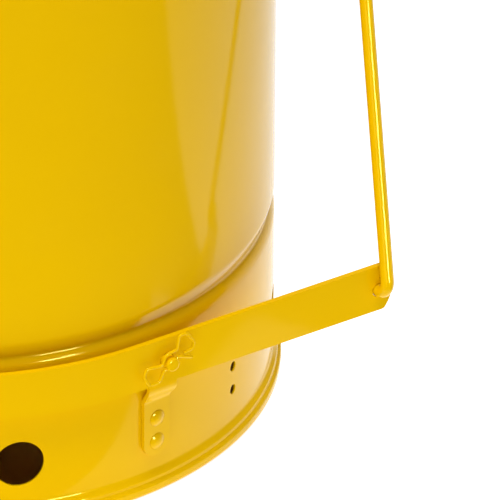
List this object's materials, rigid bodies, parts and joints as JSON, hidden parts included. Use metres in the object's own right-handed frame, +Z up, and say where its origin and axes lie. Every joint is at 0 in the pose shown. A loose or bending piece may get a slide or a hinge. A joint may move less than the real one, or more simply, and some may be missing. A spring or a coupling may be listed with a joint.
{
  "type": "oily waste can",
  "caption": "Round steel waste can with raised vented bottom, hinged domed lid and a foot-lever strap that lifts the lid through a bent rod.",
  "frame": {"origin": "on the can's axis, on the floor it stands on", "axes": "+Z up along the can's axis, -Y towards the foot pedal, +Y towards the lid hinge, +X to the right for a person facing +Y"},
  "size_m": [0.3298, 0.4066, 0.403],
  "materials": {
    "shell_enamel": "glossy yellow powder coat",
    "lid_enamel": "glossy yellow powder coat",
    "lever_enamel": "glossy yellow powder coat on flat bar",
    "rod_enamel": "glossy yellow powder coat on round rod",
    "bracket_enamel": "glossy yellow powder coat on stamped strip",
    "hardware_enamel": "glossy yellow powder coat on rivets, studs, pins and wire"
  },
  "bodies": {
    "can": {"can_body": "shell_enamel", "bottom_pan": "shell_enamel", "pivot_bracket_right": "bracket_enamel", "pivot_bracket_left": "bracket_enamel", "bracket_rivets_right": "hardware_enamel", "bracket_rivets_left": "hardware_enamel", "pivot_stud_right": "hardware_enamel", "pivot_stud_left": "hardware_enamel", "cotter_right": "hardware_enamel", "cotter_left": "hardware_enamel", "body_hinge_bracket": "bracket_enamel", "body_hinge_rivets": "hardware_enamel", "hinge_pin": "hardware_enamel", "hinge_clip": "hardware_enamel"},
    "lid": {"lid": "lid_enamel", "lid_hinge_bracket": "bracket_enamel", "lid_rivets": "hardware_enamel"},
    "lever": {"foot_lever": "lever_enamel", "pedal_tread": "lever_enamel", "pedal_rivets": "hardware_enamel"},
    "rod": {"lift_rod": "rod_enamel"}
  },
  "joints": [
    {"name": "lever_press", "type": "hinge", "parent": "can", "child": "lever", "pos_m": [0, 0.016, 0.0715], "axis": [1, 0, 0], "range_deg": [0, 13.3]},
    {"name": "rod_swing", "type": "hinge", "parent": "lever", "child": "rod", "pos_m": [0, 0.1284, 0.0704], "axis": [-1, 0, 0], "range_deg": [0, 14.4]},
    {"name": "lid_open", "type": "hinge", "parent": "can", "child": "lid", "pos_m": [0, 0.183, 0.37], "axis": [-1, 0, 0], "range_deg": [0, 61.4]}
  ],
  "couplings": [
    {"joint": "rod_swing", "follows": "lever_press", "ratio": 1.0705},
    {"joint": "lid_open", "follows": "lever_press", "ratio": 4.6}
  ]
}
